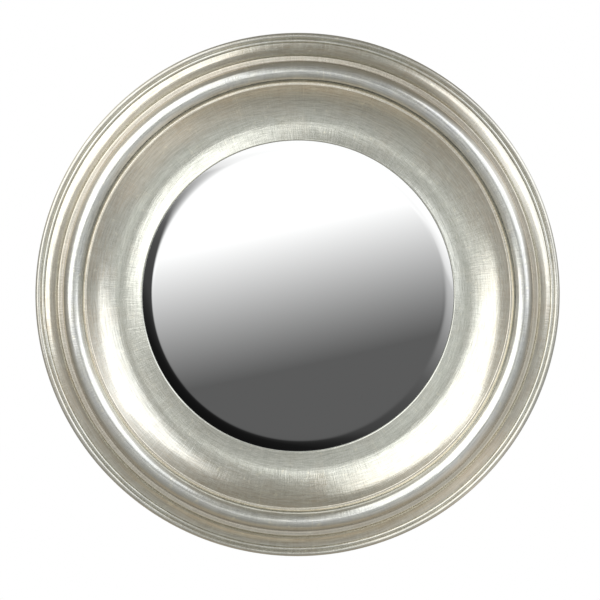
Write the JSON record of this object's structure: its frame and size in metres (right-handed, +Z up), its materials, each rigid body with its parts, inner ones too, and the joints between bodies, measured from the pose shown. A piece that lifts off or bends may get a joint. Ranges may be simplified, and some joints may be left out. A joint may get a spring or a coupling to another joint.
{
  "type": "convex wall mirror",
  "caption": "Round convex mirror with bevelled glass in a deep turned, silver-leafed frame, with backing board, turn buttons and D-ring hangers.",
  "frame": {"origin": "on the mirror's axis, in the plane of the frame's back face", "axes": "+Y out of the back towards the wall, the mirror facing -Y, +Z up as it hangs, +X to the viewer's right"},
  "size_m": [0.61, 0.057, 0.61],
  "materials": {
    "silver_leaf": "champagne silver leaf on turned wood, burnished, cream bole showing on the arrises",
    "black_board": "fibreboard painted satin black",
    "mirror_glass": "silvered convex glass with a polished bevel",
    "felt": "dark grey felt strip",
    "card": "raw fibreboard strip",
    "hardboard": "hardboard, smooth side out",
    "zinc_steel": "zinc-plated steel",
    "black_steel": "black phosphated screws",
    "rubber": "matt black rubber"
  },
  "bodies": {
    "mirror": {"frame_moulding": "silver_leaf", "back_ring": "black_board", "convex_glass": "mirror_glass", "glass_cushion": "felt", "rim_spacer": "card", "backing_board": "hardboard", "back_ring_screw_1": "black_steel", "back_ring_screw_2": "black_steel", "back_ring_screw_3": "black_steel", "back_ring_screw_4": "black_steel", "back_ring_screw_5": "black_steel", "back_ring_screw_6": "black_steel", "back_ring_screw_7": "black_steel", "back_ring_screw_8": "black_steel", "turn_button_screw_1": "zinc_steel", "turn_button_screw_2": "zinc_steel", "turn_button_screw_3": "zinc_steel", "turn_button_screw_4": "zinc_steel", "turn_button_screw_5": "zinc_steel", "turn_button_screw_6": "zinc_steel", "hanger_strap_left": "zinc_steel", "hanger_strap_right": "zinc_steel", "hanger_screw_left_1": "zinc_steel", "hanger_screw_left_2": "zinc_steel", "hanger_screw_right_1": "zinc_steel", "hanger_screw_right_2": "zinc_steel", "wall_bumper_1": "rubber", "wall_bumper_2": "rubber", "wall_bumper_3": "rubber", "wall_bumper_4": "rubber"},
    "button_1": {"turn_button_1": "zinc_steel"},
    "button_2": {"turn_button_2": "zinc_steel"},
    "button_3": {"turn_button_3": "zinc_steel"},
    "button_4": {"turn_button_4": "zinc_steel"},
    "button_5": {"turn_button_5": "zinc_steel"},
    "button_6": {"turn_button_6": "zinc_steel"},
    "ring_left": {"hanger_ring_left": "zinc_steel"},
    "ring_right": {"hanger_ring_right": "zinc_steel"}
  },
  "joints": [
    {"name": "button_1_turn", "type": "hinge", "parent": "mirror", "child": "button_1", "pos_m": [0.212, 0, 0], "axis": [0, 1, 0], "continuous": true},
    {"name": "button_2_turn", "type": "hinge", "parent": "mirror", "child": "button_2", "pos_m": [0.106, 0, 0.1836], "axis": [0, 1, 0], "continuous": true},
    {"name": "button_3_turn", "type": "hinge", "parent": "mirror", "child": "button_3", "pos_m": [-0.106, 0, 0.1836], "axis": [0, 1, 0], "continuous": true},
    {"name": "button_4_turn", "type": "hinge", "parent": "mirror", "child": "button_4", "pos_m": [-0.212, 0, 0], "axis": [0, 1, 0], "continuous": true},
    {"name": "button_5_turn", "type": "hinge", "parent": "mirror", "child": "button_5", "pos_m": [-0.106, 0, -0.1836], "axis": [0, 1, 0], "continuous": true},
    {"name": "button_6_turn", "type": "hinge", "parent": "mirror", "child": "button_6", "pos_m": [0.106, 0, -0.1836], "axis": [0, 1, 0], "continuous": true},
    {"name": "ring_left_swing", "type": "hinge", "parent": "mirror", "child": "ring_left", "pos_m": [-0.196, 0.0032, 0.12], "axis": [1, 0, 0], "range_deg": [0, 176]},
    {"name": "ring_right_swing", "type": "hinge", "parent": "mirror", "child": "ring_right", "pos_m": [0.196, 0.0032, 0.12], "axis": [1, 0, 0], "range_deg": [0, 176]}
  ]
}
